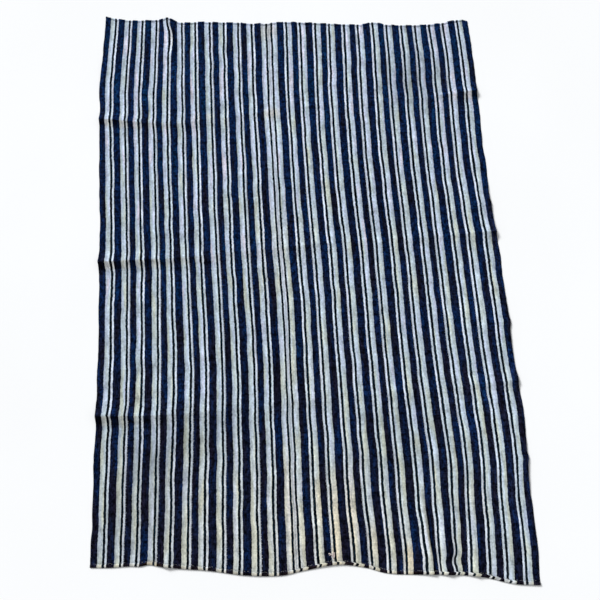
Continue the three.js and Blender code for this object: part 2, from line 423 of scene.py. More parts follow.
class Waver:
    """Small seeded unevenness with its own size, and its own reach across and along."""

    def __init__(self, size: float, reach: tuple[float, float], seed: int) -> None:
        """Draws its noise."""
        self.size = size
        self.reach = reach
        self.noise = SoftNoise(seed)

    def __call__(self, x: np.ndarray, y: np.ndarray) -> np.ndarray:
        """The unevenness at points of the cloth, in millimetres."""
        return self.size * self.noise(x / self.reach[0], y / self.reach[1])


def pressed_fold(share: np.ndarray) -> np.ndarray:
    """Height of a pressed fold with a crest and hollow flanks, by its share of the flank."""
    return np.clip(1 - share, 0, None) ** 2


def soft_swell(share: np.ndarray) -> np.ndarray:
    """Height of a soft swell, by its share of the reach."""
    return np.clip(1 - share ** 2, 0, None) ** 2


def smooth_step(share: np.ndarray) -> np.ndarray:
    """An even ramp from 0 to 1 with soft ends."""
    share = np.clip(share, 0, 1)
    return share * share * (3 - 2 * share)


@dataclass
class ClothLay:
    """How the whole cloth lies on the floor, in millimetres."""

    strip_count: int = 13
    strip_width: float = 85.0
    thickness: float = 1.6
    thinnest_share: float = 0.6
    crest_round: float = 2.2
    bottom_hem: Hem = Hem(8.0, 3.6)
    top_hem: Hem = Hem(6.0, 3.2)
    sway: Waver = Waver(1.1, (34.0, 46.0), 3)
    quiver: Waver = Waver(0.35, (17.0, 13.0), 4)
    ripple: Waver = Waver(1.1, (110.0, 40.0), 5)
    crinkle: Waver = Waver(0.3, (48.0, 13.0), 6)

    def __post_init__(self) -> None:
        """Makes the curves that the tables describe."""
        self.half_width = self.strip_count * self.strip_width / 2
        sides = ("left", "right")
        self.left, self.right = (column_curve(SIDE_EDGES, "y", side) for side in sides)
        self.left_draw, self.right_draw = (column_curve(SELVEDGE_DRAW, "y", side) for side in sides)
        self.bottom = column_curve(BOTTOM_EDGE, "seam", "value")
        self.top = column_curve(TOP_EDGE, "seam", "value")
        self.twist = column_curve(HEM_TWISTS, "seam", "value")
        self.wander_knots = np.array([0, *WANDER_SEAMS, self.strip_count], float)
        self.wander_along = column_curve(SEAM_WANDER, "y", "at")
        self.crests = [SmoothTable(CREASE_SEAMS, crease.y) for crease in CREASES]
        self.lifts = [SmoothTable(CREASE_SEAMS, crease.lift) for crease in CREASES]
        self.lee_shades = [SmoothTable(CREASE_SEAMS, crease.lee_shade) for crease in CREASES]

    def x(self, seam: np.ndarray, y: np.ndarray) -> np.ndarray:
        """Where a line of thread lies across the floor.

        Args:
            seam: the line of thread, counted in strips from the left edge.
            y: place along the cloth.

        Returns:
            The place across, with the small sway of hand weaving.
        """
        left, right = -self.half_width - self.left(y), self.half_width + self.right(y)
        even = left + (right - left) * seam / self.strip_count
        flat = seam * self.strip_width
        return even + self.wander(seam, y) + self.sway(flat, y) + self.quiver(flat, y)

    def wander(self, seam: np.ndarray, y: np.ndarray) -> np.ndarray:
        """How far a line of thread strays from even spacing.

        Args:
            seam: the line of thread, counted in strips from the left edge.
            y: place along the cloth.

        Returns:
            The stray, with the draw of the two outer selvedges.
        """
        knots = self.wander_knots
        row = np.clip(np.searchsorted(knots, seam, side="right") - 1, 0, len(knots) - 2)
        share = (seam - knots[row]) / (knots[row + 1] - knots[row])
        draws = self.left_draw(y)[..., None], -self.right_draw(y)[..., None]
        strays = np.concatenate([draws[0], self.wander_along(y), draws[1]], -1)
        near = np.take_along_axis(strays, row[..., None], -1)[..., 0]
        far = np.take_along_axis(strays, row[..., None] + 1, -1)[..., 0]
        return near * (1 - share) + far * share

    def fold_height(self, seam: np.ndarray, x: np.ndarray, y: np.ndarray) -> np.ndarray:
        """Height of the creases, tucks and swells over the floor.

        Args:
            seam: the line of thread, counted in strips from the left edge.
            x: place across the floor.
            y: place along the cloth.

        Returns:
            The height of the cloth's underside there.
        """
        height = np.zeros(np.broadcast(seam, x, y).shape)
        for crease, crest, lift in zip(CREASES, self.crests, self.lifts):
            aside = np.hypot(y - crest(seam), self.crest_round) - self.crest_round
            height += lift(seam) * pressed_fold(aside / crease.flank)
        for tuck in TUCKS:
            along, aside = tuck.place(x, y)
            stand = tuck.hold * tuck.fade(along) + (1 - tuck.hold) * tuck.growth(along)
            height += tuck.lift * stand * tuck.profile(aside, self.crest_round)
        for swell in SWELLS:
            height += swell.amount * swell.share(x, y)
        return height

    def push(self, x: np.ndarray, y: np.ndarray) -> np.ndarray:
        """Sideways push of leaning tucks and of small nudges.

        Args:
            x: place across the floor.
            y: place along the cloth.

        Returns:
            How far each point is pushed to the right.
        """
        shift = np.zeros(np.broadcast(x, y).shape)
        for tuck in TUCKS:
            along, aside = tuck.place(x, y)
            shift += tuck.lean * tuck.growth(along) * tuck.profile(aside, self.crest_round)
        for nudge in NUDGES:
            shift += nudge.amount * nudge.share(x, y)
        return shift

    def hem_roll(self, seam: np.ndarray, y: np.ndarray) -> np.ndarray:
        """Extra thickness of the rolled hems.

        Args:
            seam: the line of thread, counted in strips from the left edge.
            y: place along the cloth.

        Returns:
            The height of the roll over the plain cloth.
        """
        roll = np.zeros(np.broadcast(seam, y).shape)
        for hem, inset in ((self.bottom_hem, y - self.bottom(seam)), (self.top_hem, self.top(seam) - y)):
            share = np.clip(2 * inset / hem.width - 1, -1, 1)
            roll += (hem.thickness - self.thickness) * (1 - share ** 4)
        return roll

    def surface(self, seam: np.ndarray, y: np.ndarray) -> tuple[np.ndarray, np.ndarray]:
        """Points of the cloth's face and underside.

        Args:
            seam: the line of thread, counted in strips from the left edge.
            y: place along the cloth.

        Returns:
            The face's points and the underside's, in millimetres.
        """
        seam, y = np.broadcast_arrays(np.asarray(seam, float), np.asarray(y, float))
        x = self.x(seam, y)
        low = self.fold_height(seam, x, y)
        ripple = self.ripple(x, y) + self.crinkle(x, y)
        face = low + self.thickness + ripple + self.hem_roll(seam, y)
        under = np.maximum(low + np.minimum(ripple, 0), 0)
        face = np.maximum(face, under + self.thinnest_share * self.thickness)
        x = x + self.push(x, y)
        return np.stack([x, y, face], -1), np.stack([x, y, under], -1)


class NodeBench:
    """Lays out the shader nodes of one finish."""

    MIX_INPUTS = (0, 6, 7)
    MIX_RESULT = 2
    LEAST_TONE = 0.2

    def __init__(self, name: str) -> None:
        """Starts a material with one surface shader.

        Args:
            name: the finish's name.
        """
        self.material = bpy.data.materials.new(name)
        self.material.use_nodes = True
        self.tree = self.material.node_tree
        self.tree.nodes.clear()
        output = self.tree.nodes.new("ShaderNodeOutputMaterial")
        self.shader = self.tree.nodes.new("ShaderNodeBsdfPrincipled")
        self.tree.links.new(self.shader.outputs["BSDF"], output.inputs["Surface"])

    def feed(self, socket: Socket, value: Value) -> None:
        """Links a socket to another, or sets its value.

        Args:
            socket: where the value goes in.
            value: the socket or the plain value that it takes.
        """
        if isinstance(value, Socket):
            self.tree.links.new(value, socket)
        else:
            socket.default_value = value

    def attribute(self, name: str, output: str) -> Socket:
        """Reads one of the mesh's own values.

        Args:
            name: the name it is kept under.
            output: which of the reader's outputs is taken.

        Returns:
            The value's socket.
        """
        node = self.tree.nodes.new("ShaderNodeAttribute")
        node.attribute_name = name
        return node.outputs[output]

    def math(self, operation: str, *values: Value, clamp: bool = False) -> Socket:
        """A sum of numbers.

        Args:
            operation: the kind of sum, in the node's own words.
            values: the numbers or sockets that go in.
            clamp: whether the result is kept from 0 to 1.

        Returns:
            The result's socket.
        """
        node = self.tree.nodes.new("ShaderNodeMath")
        node.operation = operation
        node.use_clamp = clamp
        for socket, value in zip(node.inputs, values):
            self.feed(socket, value)
        return node.outputs[0]

    def split(self, vector: Socket) -> list[Socket]:
        """The three parts of a vector or a colour.

        Args:
            vector: what is split.

        Returns:
            The socket of each part.
        """
        node = self.tree.nodes.new("ShaderNodeSeparateXYZ")
        self.feed(node.inputs[0], vector)
        return list(node.outputs)

    def noise(self, vector: Socket, grain: Sequence[float], detail: float) -> Socket:
        """Noise whose patches have a given size.

        Args:
            vector: the coordinates, in millimetres.
            grain: size of a patch along each coordinate, in millimetres.
            detail: how many finer layers are added.

        Returns:
            The noise, around one half.
        """
        scale = self.tree.nodes.new("ShaderNodeVectorMath")
        scale.operation = "MULTIPLY"
        self.feed(scale.inputs[0], vector)
        scale.inputs[1].default_value = [1.0 / size for size in grain]
        node = self.tree.nodes.new("ShaderNodeTexNoise")
        self.feed(node.inputs["Vector"], scale.outputs[0])
        node.inputs["Scale"].default_value = 1.0
        node.inputs["Detail"].default_value = detail
        return node.outputs["Fac"]

    def ramp(self, share: Socket, stops: Stops, kind: str = "LINEAR") -> Socket:
        """A colour read off a row of stops.

        Args:
            share: where to read, from 0 to 1.
            stops: place and colour of each stop, in rising order.
            kind: how the colours run between stops.

        Returns:
            The colour's socket.
        """
        node = self.tree.nodes.new("ShaderNodeValToRGB")
        node.color_ramp.interpolation = kind
        elements = node.color_ramp.elements
        while len(elements) < len(stops):
            elements.new(1.0)
        for element, (place, colour) in zip(elements, stops):
            element.position = place
            element.color = (*colour, 1.0)
        self.feed(node.inputs["Fac"], share)
        return node.outputs["Color"]

    def blend(self, share: Value, first: Value, second: Value) -> Socket:
        """A colour between two others.

        Args:
            share: how far it lies from the first colour to the second.
            first: the colour at 0.
            second: the colour at 1.

        Returns:
            The colour's socket.
        """
        node = self.tree.nodes.new("ShaderNodeMix")
        node.data_type = "RGBA"
        for number, value in zip(self.MIX_INPUTS, (share, first, second)):
            self.feed(node.inputs[number], value)
        return node.outputs[self.MIX_RESULT]

    def shade(self, colour: Socket, tone: Socket) -> Socket:
        """A colour made lighter or darker.

        Args:
            colour: the colour to change.
            tone: how light it becomes, 1 for no change.

        Returns:
            The new colour's socket.
        """
        node = self.tree.nodes.new("ShaderNodeVectorMath")
        node.operation = "SCALE"
        self.feed(node.inputs[0], colour)
        self.feed(node.inputs["Scale"], tone)
        return node.outputs[0]

    def tone(self, noises: Sequence[Socket], weights: Sequence[float]) -> Socket:
        """A lightness around 1 from several noises.

        Args:
            noises: the noises, each around one half.
            weights: how much each one counts.

        Returns:
            The lightness's socket.
        """
        total: Value = 1.0
        for noise, weight in zip(noises, weights):
            swing = self.math("MULTIPLY_ADD", noise, weight, -weight / 2)
            total = self.math("ADD", swing, total)
        return self.math("MAXIMUM", total, self.LEAST_TONE)

    def relief(self, height: Socket, depth: float, strength: float) -> None:
        """Gives the surface a fine relief.

        Args:
            height: the relief's height, about 0 to 1.
            depth: its full depth, in metres.
            strength: how much of it shows.
        """
        node = self.tree.nodes.new("ShaderNodeBump")
        node.inputs["Strength"].default_value = strength
        node.inputs["Distance"].default_value = depth
        self.feed(node.inputs["Height"], height)
        self.feed(self.shader.inputs["Normal"], node.outputs["Normal"])

    def set(self, **values: float) -> None:
        """Sets plain values on the shader's own sockets, with underscores for spaces."""
        for name, value in values.items():
            self.shader.inputs[name.replace("_", " ")].default_value = value


def linear(red: float, green: float, blue: float) -> tuple[float, float, float]:
    """A screen colour of 0 to 255 as linear light."""
    parts = (channel / 255 for channel in (red, green, blue))
    return tuple(part / 12.92 if part < 0.04045 else ((part + 0.055) / 1.055) ** 2.4 for part in parts)


class Speckle(NamedTuple):
    """One scale of unevenness in the yarn: its size, its finer layers, and its weight on light and dark."""

    across: float
    along: float
    detail: float = 2.0
    light: float = 0.0
    dark: float = 0.0

    def lay(self, bench: NodeBench, weave: Socket) -> Socket:
        """Noise of this size over the weave, different in each strip."""
        return bench.noise(weave, (self.across, self.along, BETWEEN_STRIPS), self.detail)


@dataclass(frozen=True)
class StripedCotton:
    """Handspun cotton woven in indigo, near-black and pale stripes, with uneven yarn and stains, and with
    painted light and shade: a cooler tint towards the top, and what the strip's marks carry.
    """

    navy: Stops = (
        (0.32, linear(19, 17, 30)),
        (0.44, linear(16, 20, 37)),
        (0.56, linear(9, 27, 60)),
        (0.68, linear(7, 34, 65)),
    )
    pale: Stops = (
        (0.32, linear(189, 196, 186)),
        (0.43, linear(182, 195, 200)),
        (0.54, linear(182, 196, 211)),
        (0.63, linear(186, 197, 219)),
        (0.73, linear(206, 203, 218)),
    )
    white: Stops = ((0.35, linear(192, 206, 219)), (0.65, linear(214, 222, 239)))
    black: Colour = linear(13, 23, 30)
    cream: Colour = linear(220, 208, 182)
    soiled: Colour = linear(24, 16, 13)
    grain: Speckle = Speckle(1.5, 4.2, 3.0, 0.45, 2.1)
    fleck: Speckle = Speckle(3.4, 6.0, 2.0, 0.8, 4.2)
    blotch: Speckle = Speckle(9.0, 14.0, 2.0, 0.7, 5.0)
    cloud: Speckle = Speckle(11.0, 40.0, 2.0, 1.2)
    pick: Speckle = Speckle(60.0, 2.4, 2.0, 0.4, 2.8)
    streak: Speckle = Speckle(1.6, 70.0, 2.0, 0.4, 2.3)
    dye: Speckle = Speckle(15.0, 130.0)
    waver: Speckle = Speckle(15.0, 8.0)
    pale_rise: float = 0.42
    # How fast the tint turns cooler towards the top: painted cool light
    cool_light_drift: float = 0.00009
    navy_evenness: float = 0.35
    mark_least: float = 0.5
    mark_fleck: float = 0.8
    ragged: float = 3.2
    roughness: float = 0.95
    specular: float = 0.02
    relief_depth: float = 0.0003
    relief_strength: float = 0.6
    yarn_pitch: float = 0.95
    yarn_height: float = 0.2
    pick_pitch: float = 1.5
    pick_height: float = 0.3
    grain_height: float = 1.2

    def build(self) -> Material:
        """Makes the material.

        Returns:
            The finished material, which reads the strip's weave and its marks.
        """
        bench = NodeBench("striped_cotton")
        weave = bench.attribute("weave", "Vector")
        across, along, _ = bench.split(weave)
        # The marks: a cream tint from stains, painted warm light and painted lee shade, and the brightness
        # of the light and the dark yarns, with painted shade in it
        stain_and_painted_light, light_patches_and_shade, dark_patches_and_shade = bench.split(bench.attribute("marks", "Vector"))
        speckles = (self.grain, self.fleck, self.blotch, self.cloud, self.pick, self.streak)
        noises = [speckle.lay(bench, weave) for speckle in speckles]
        grain, fleck = noises[:2]
        light_tone = bench.tone(noises, [speckle.light for speckle in speckles])
        dark_tone = bench.tone(noises, [speckle.dark for speckle in speckles])
        dye = self.dye.lay(bench, weave)
        even = bench.math("MULTIPLY_ADD", dye, 1 - self.navy_evenness, self.navy_evenness / 2)
        # Both tints drift cooler towards the top, a painted cool light
        tint, navy_tint = (bench.math("MULTIPLY_ADD", along, self.cool_light_drift, part) for part in (dye, even))
        mark = bench.math("MULTIPLY_ADD", fleck, self.mark_fleck, self.mark_least)
        mark = bench.math("MULTIPLY", stain_and_painted_light, mark, clamp=True)
        place = self.stripe_place(bench, weave, across)
        is_pale, is_white, is_navy = bench.split(self.stripe_masks(bench, place))
        rise = self.pale_share(bench, place)
        rise = bench.math("MULTIPLY_ADD", rise, self.pale_rise, 1 - self.pale_rise / 2)
        pale = bench.blend(mark, bench.ramp(tint, self.pale), (*self.cream, 1.0))
        white = bench.blend(mark, bench.ramp(tint, self.white), (*self.cream, 1.0))
        light = bench.blend(is_white, bench.shade(pale, rise), white)
        light = bench.shade(light, bench.math("MULTIPLY", light_tone, light_patches_and_shade))
        in_hem = bench.attribute("hem", "Fac")
        navy = bench.blend(in_hem, bench.ramp(navy_tint, self.navy), (*self.soiled, 1.0))
        dark = bench.blend(is_navy, (*self.black, 1.0), navy)
        dark = bench.shade(dark, bench.math("MULTIPLY", dark_tone, dark_patches_and_shade))
        is_light = bench.math("ADD", is_pale, is_white, clamp=True)
        bench.feed(bench.shader.inputs["Base Color"], bench.blend(is_light, dark, light))
        height = self.weave_height(bench, across, along, grain)
        bench.relief(height, self.relief_depth, self.relief_strength)
        bench.set(Roughness=self.roughness, Specular_IOR_Level=self.specular)
        return bench.material

    def stripe_place(self, bench: NodeBench, weave: Socket, across: Socket) -> Socket:
        """Place across a strip from 0 to 1, a little ragged along the stripes' edges.

        Args:
            bench: where the nodes are laid out.
            weave: the weave coordinates.
            across: place across the strip, in millimetres.

        Returns:
            The place's socket.
        """
        centred = bench.math("SUBTRACT", across, self.ragged / 2)
        place = bench.math("MULTIPLY_ADD", self.waver.lay(bench, weave), self.ragged, centred)
        return bench.math("DIVIDE", place, STRIPE_STARTS[-1])

    def stripe_masks(self, bench: NodeBench, place: Socket) -> Socket:
        """Which yarn lies where across a strip: a colour whose parts say pale, white and navy."""
        yarns = [stripe.yarn.value for stripe in STRIPES]
        return bench.ramp(place, list(zip(STRIPE_SHARES, yarns)), "CONSTANT")

    def pale_share(self, bench: NodeBench, place: Socket) -> Socket:
        """How far across its pale stripe a place lies: 0 by the navy and 1 by the black line.

        Args:
            bench: where the nodes are laid out.
            place: place across the strip, from 0 to 1.

        Returns:
            The share's socket.
        """
        stops = []
        for low, high, stripe in zip(STRIPE_SHARES, STRIPE_SHARES[1:], STRIPES):
            if stripe.yarn is Yarn.PALE:
                stops += [(low, (0.0,) * 3), (high, (1.0,) * 3)]
        return bench.ramp(place, stops)

    def weave_height(self, bench: NodeBench, across: Socket, along: Socket, grain: Socket) -> Socket:
        """Height of the ribs that the weft picks and the warp yarns make.

        Args:
            bench: where the nodes are laid out.
            across: place across the strip, in millimetres.
            along: place along the strip, in millimetres.
            grain: the yarn's own unevenness.

        Returns:
            The height's socket, about 0 to 1.
        """
        pick = bench.math("SINE", bench.math("MULTIPLY", along, 2 * math.pi / self.pick_pitch))
        yarn = bench.math("SINE", bench.math("MULTIPLY", across, 2 * math.pi / self.yarn_pitch))
        ribs = bench.math("MULTIPLY", yarn, self.yarn_height)
        ribs = bench.math("MULTIPLY_ADD", pick, self.pick_height, ribs)
        return bench.math("MULTIPLY_ADD", grain, self.grain_height, ribs)


@dataclass(frozen=True)
class SewingThread:
    """Twisted cotton thread, between a dull shade and a bright one."""

    name: str
    dull: Colour
    bright: Colour
    dull_at: float = 0.35
    bright_at: float = 0.65
    shade_size: tuple[float, float, float] = (2.0, 2.0, 1.0)
    shade_detail: float = 2.0
    roughness: float = 0.9
    specular: float = 0.05
    twist_rate: float = 4.0
    twist_depth: float = 0.0002
    twist_strength: float = 0.6

    def build(self) -> Material:
        """Makes the material.

        Returns:
            The finished material, which reads the thread's own length and turn.
        """
        bench = NodeBench(self.name)
        place = bench.attribute("strand", "Vector")
        shade = bench.noise(place, self.shade_size, self.shade_detail)
        colour = bench.ramp(shade, ((self.dull_at, self.dull), (self.bright_at, self.bright)))
        bench.feed(bench.shader.inputs["Base Color"], colour)
        along, around, _ = bench.split(place)
        turn = bench.math("MULTIPLY_ADD", along, self.twist_rate, around)
        bench.relief(bench.math("SINE", turn), self.twist_depth, self.twist_strength)
        bench.set(Roughness=self.roughness, Specular_IOR_Level=self.specular)
        return bench.material


UNDYED_THREAD = SewingThread("sewing_thread", linear(172, 182, 196), linear(214, 218, 226))
NAVY_THREAD = SewingThread("navy_thread", linear(10, 16, 34), linear(22, 30, 56))
SOILED_THREAD = SewingThread("soiled_thread", linear(132, 132, 136), linear(182, 178, 172))
LOOSE_THREAD = SewingThread("loose_thread", linear(206, 188, 184), linear(232, 222, 220))


@dataclass(frozen=True)
class PaleFloor:
    """A plain matt white studio floor."""

    shades: Stops = ((0.3, (0.96, 0.96, 0.96)), (0.7, (0.98, 0.98, 0.98)))
    patch: tuple[float, float, float] = (0.6, 0.6, 0.6)
    detail: float = 3.0
    roughness: float = 0.8
    specular: float = 0.1

    def build(self) -> Material:
        """Makes the material.

        Returns:
            The finished material.
        """
        bench = NodeBench("pale_floor")
        place = bench.tree.nodes.new("ShaderNodeTexCoord").outputs["Object"]
        shade = bench.noise(place, self.patch, self.detail)
        bench.feed(bench.shader.inputs["Base Color"], bench.ramp(shade, self.shades))
        bench.set(Roughness=self.roughness, Specular_IOR_Level=self.specular)
        return bench.material


def new_piece(name: str, points: np.ndarray, quads: np.ndarray, finish: Material) -> Piece:
    """Makes a smooth mesh object from arrays.

    Args:
        name: the piece's name.
        points: its points, in millimetres.
        quads: the points of each four-sided face.
        finish: its material.

    Returns:
        The object, linked into the scene.
    """
    mesh = bpy.data.meshes.new(name)
    mesh.vertices.add(len(points))
    mesh.vertices.foreach_set("co", (points * MM).astype(np.float32).ravel())
    mesh.loops.add(quads.size)
    mesh.loops.foreach_set("vertex_index", quads.astype(np.int32).ravel())
    mesh.polygons.add(len(quads))
    mesh.polygons.foreach_set("loop_start", np.arange(0, quads.size, 4, dtype=np.int32))
    mesh.polygons.foreach_set("use_smooth", np.ones(len(quads), bool))
    mesh.update(calc_edges=True)
    mesh.materials.append(finish)
    piece = bpy.data.objects.new(name, mesh)
    bpy.context.scene.collection.objects.link(piece)
    return piece


def store(piece: Piece, name: str, values: np.ndarray) -> None:
    """Keeps a number or a vector for each point of a piece's mesh.

    Args:
        piece: the piece.
        name: the name that its finish reads.
        values: one number or one vector for each point.
    """
    vectors = values.ndim == 2
    layer = piece.data.attributes.new(name, "FLOAT_VECTOR" if vectors else "FLOAT", "POINT")
    layer.data.foreach_set("vector" if vectors else "value", values.astype(np.float32).ravel())


@dataclass
class WovenStrip:
    """One narrow woven strip with its two rolled hems."""

    lay: ClothLay
    number: int
    turn: Turn
    gap: float = 0.3
    edge_columns: tuple[float, ...] = (0.7, 1.5, 2.6)
    cells_across: int = 26
    span_rows: tuple[int, ...] = (12, 104, 108, 108, 76, 10)
    crowding: float = 0.55
    hem_margin: float = 3.0
    thinnest: float = 0.5
    yarn_margin: float = 0.05
    selvedge_drop: float = 0.55
    selvedge_reach: float = 2.2
    stitch_groove: float = 0.5
    groove_place: float = 0.8
    groove_reach: float = 1.3
    pucker: float = 0.35
    pucker_reach: float = 9.0
    pucker_pitch: float = 15.0
    pucker_apart: float = 7.3
    hem_soil: float = 0.4
    hem_edge: float = 1.5
    # Painted shade on the rolled bottom hem, which dulls its light yarns
    hem_shade: float = 0.22
    twist_start: float = 0.5
    end_jut: float = 2.2
    jut_rate: float = 9.0
    jut_row: float = 40.5
    navy_jut: float = 0.7
    navy_uneven: float = 0.6
    end_uneven: float = 0.3
    dull_seam: int = 6
    dull_reach: float = 8.0
    seam_dulling: float = 0.12
    darkest: float = 0.3
    # Painted shade in the lee of creases and tucks: its reach, how much it darkens the dark yarns, and its
    # cream tint on the light ones
    lee_share: float = 0.75
    lee_darkening: float = 0.75
    lee_shade_tint: float = 0.45

    @property
    def name(self) -> str:
        """The strip's name, as its solid has it."""
        return f"strip_{self.number + 1:02d}"

    def local(self) -> np.ndarray:
        """Places of the mesh's columns across the strip.

        Returns:
            The places in millimetres, closer at the selvedges.
        """
        edge = np.array([self.gap / 2, *self.edge_columns])
        width = self.lay.strip_width
        middle = np.linspace(edge[-1], width - edge[-1], self.cells_across + 1)[1:-1]
        return np.concatenate([edge, middle, (width - edge)[::-1]])

    def rows(self, seam: np.ndarray) -> np.ndarray:
        """Places of the mesh's rows along the strip.

        Args:
            seam: each column's line of thread, counted in strips.

        Returns:
            One row of places for each row of the mesh, closer at the hems and creases.
        """
        lay = self.lay
        lines = [lay.bottom(seam), lay.bottom(seam) + lay.bottom_hem.width + self.hem_margin]
        lines += [crest(seam) for crest in lay.crests]
        lines += [lay.top(seam) - lay.top_hem.width - self.hem_margin, lay.top(seam) + self.jut(seam)]
        made = [lines[0][None]]
        for low, high, count in zip(lines, lines[1:], self.span_rows):
            share = np.arange(1, count + 1)[:, None] / count
            share = share - self.crowding * np.sin(2 * np.pi * share) / (2 * np.pi)
            made.append(low + (high - low) * share)
        return np.concatenate(made)

    def jut(self, seam: np.ndarray) -> np.ndarray:
        """How far the ends of the stripes stand out of the top hem, the navy ones furthest.

        Args:
            seam: each column's line of thread, counted in strips.

        Returns:
            The distance for each of the mesh's columns.
        """
        woven = self.yarn_place((seam - self.number) * self.lay.strip_width)
        stripes = [STRIPES[index] for index in np.searchsorted(STRIPE_STARTS[1:-1], woven)]
        navy = np.array([stripe.yarn is Yarn.NAVY for stripe in stripes], float)
        uneven = self.lay.quiver.noise(seam * self.jut_rate, np.full_like(seam, self.jut_row))
        navy_jut = navy * (self.navy_jut + self.navy_uneven * uneven)
        return self.end_jut * (navy_jut + self.end_uneven * uneven)

    def yarn_place(self, local: np.ndarray) -> np.ndarray:
        """Place across the strip as it was woven, from the narrow navy selvedge."""
        return local if self.turn is Turn.AS_WOVEN else self.lay.strip_width - local

    def face_detail(self, local: np.ndarray, y: np.ndarray, past: Sequence[np.ndarray]) -> np.ndarray:
        """Small relief of the face: round selvedges, puckers at the seams and the hems' stitch lines.

        Args:
            local: place across the strip.
            y: place along the cloth.
            past: distance in from the inner side of each hem.

        Returns:
            What is added to the face's height.
        """
        lay = self.lay
        edge = np.minimum(local, lay.strip_width - local)
        seam = self.number + np.round(local / lay.strip_width)
        drop = self.selvedge_drop * np.clip(1 - edge / self.selvedge_reach, 0, 1) ** 2
        fade = np.exp(-edge / self.pucker_reach)
        pucker = self.pucker * fade * lay.quiver.noise(seam * self.pucker_apart, y / self.pucker_pitch)
        groove = sum(np.exp(-(((inset - self.groove_place) / self.groove_reach) ** 2)) for inset in past)
        return pucker - drop - self.stitch_groove * groove

    def build(self, finish: Material) -> Piece:
        """Makes the strip's closed mesh and the values that its finish reads.

        Args:
            finish: the cotton's material.

        Returns:
            The strip's object, which stands for its solid.
        """
        lay = self.lay
        local = self.local()
        seam = self.number + local / lay.strip_width
        y = self.rows(seam)
        seam, local = np.broadcast_to(seam, y.shape), np.broadcast_to(local, y.shape)
        face, under = lay.surface(seam, y)
        inset = y - lay.bottom(seam)
        past = (inset - lay.bottom_hem.width, lay.top(seam) - y - lay.top_hem.width)
        face[..., 2] += self.face_detail(local, y, past)
        face[..., 2] = np.maximum(face[..., 2], under[..., 2] + self.thinnest)
        points = np.concatenate([face, under[:, ::-1]], axis=1)
        piece = new_piece(self.name, points.reshape(-1, 3), self.quads(*y.shape), finish)
        held = local - self.twist(seam, inset)
        held = np.clip(held, self.yarn_margin, lay.strip_width - self.yarn_margin)
        weave = np.stack([self.yarn_place(held), y, np.full(y.shape, float(self.number))], -1)
        self.keep(piece, "weave", weave)
        # Stains, with painted warm light along the bottom; painted shade in the lee of creases and tucks is
        # added below
        stain_and_painted_light, lee = self.stains_and_warm_light(face[..., 0], y), self.lee(seam, face[..., 0], y)
        light, dark = self.patches(face[..., 0], y, seam)
        in_hem = np.clip((lay.bottom_hem.width - inset) / self.hem_edge, 0, 1)
        in_hem = np.clip(self.hem_soil + stain_and_painted_light, 0, 1) * in_hem
        # Painted shade in the lee: a cream tint on the light yarns, and darker dark yarns
        stain_and_painted_light = np.maximum(np.clip(stain_and_painted_light + self.lee_shade_tint * lee, 0, 1), in_hem)
        # Painted shade on the hem's light yarns
        light *= 1 - self.hem_shade * in_hem
        marks = np.stack([stain_and_painted_light, light, dark * (1 - self.lee_darkening * lee)], -1)
        self.keep(piece, "marks", marks)
        self.keep(piece, "hem", in_hem)
        return piece

    def keep(self, piece: Piece, name: str, values: np.ndarray) -> None:
        """Keeps values for the points of the strip's face, and the same ones for its underside."""
        both = np.concatenate([values, values[:, ::-1]], axis=1)
        store(piece, name, both.reshape(-1, *values.shape[2:]))

    def twist(self, seam: np.ndarray, inset: np.ndarray) -> np.ndarray:
        """How far the stripes slant inside the rolled hem.

        Args:
            seam: the line of thread, counted in strips.
            inset: distance in from the bottom edge.

        Returns:
            The sideways shift of the yarns, in millimetres.
        """
        width = self.lay.bottom_hem.width
        share = self.twist_start + (1 - self.twist_start) * inset / width
        share = np.where(inset < width, share, 0)
        return share * self.lay.twist(seam)

    def stains_and_warm_light(self, x: np.ndarray, y: np.ndarray) -> np.ndarray:
        """Strength of the stains, with painted warm light along the bottom.

        Args:
            x: place across the floor.
            y: place along the cloth.

        Returns:
            The strength at each point, from 0 to 1.
        """
        total = np.zeros(x.shape)
        for stain_and_painted_light in STAINS_AND_WARM_LIGHT:
            total += stain_and_painted_light.amount * stain_and_painted_light.share(x, y)
        return np.clip(total, 0, 1)

    def patches(self, x: np.ndarray, y: np.ndarray, seam: np.ndarray) -> tuple[np.ndarray, np.ndarray]:
        """How bright the yarns are at points of the floor.

        Args:
            x: place across the floor.
            y: place along the cloth.
            seam: the line of thread, counted in strips.

        Returns:
            The brightness of the light yarns and of the dark ones, around 1.
        """
        light, dark = np.ones(x.shape), np.ones(x.shape)
        for patch in PATCHES:
            share = patch.share(x, y)
            light += patch.amount * share
            dark += patch.on_dark * share
        aside = (seam - self.dull_seam) * self.lay.strip_width / self.dull_reach
        return light - self.seam_dulling * np.exp(-(aside ** 2)), np.maximum(dark, self.darkest)

    def lee(self, seam: np.ndarray, x: np.ndarray, y: np.ndarray) -> np.ndarray:
        """How deep a place lies in the painted shade of a crease's or a tuck's lee.

        Args:
            seam: the line of thread, counted in strips.
            x: place across the floor.
            y: place along the cloth.

        Returns:
            The depth, about 0 to 1, deepest just beside a high crest.
        """
        deepest = np.zeros(y.shape)
        # Painted shade below each crease's crest
        for crease, crest, lee_shade in zip(CREASES, self.lay.crests, self.lay.lee_shades):
            below = (crest(seam) - y) / (self.lee_share * crease.flank)
            deepest += np.where(below > 0, 1 - smooth_step(2 * below - 1), 0) * lee_shade(seam)
        # Painted shadow on the steep right flank beside each tuck
        for tuck in TUCKS:
            along, aside = tuck.place(x, y)
            band = np.where(aside > 0, 1 - smooth_step(aside / tuck.right), 0) * tuck.growth(along)
            deepest += band * min(tuck.lift / tuck.right, 1) ** 2
        return np.clip(deepest, 0, 1)

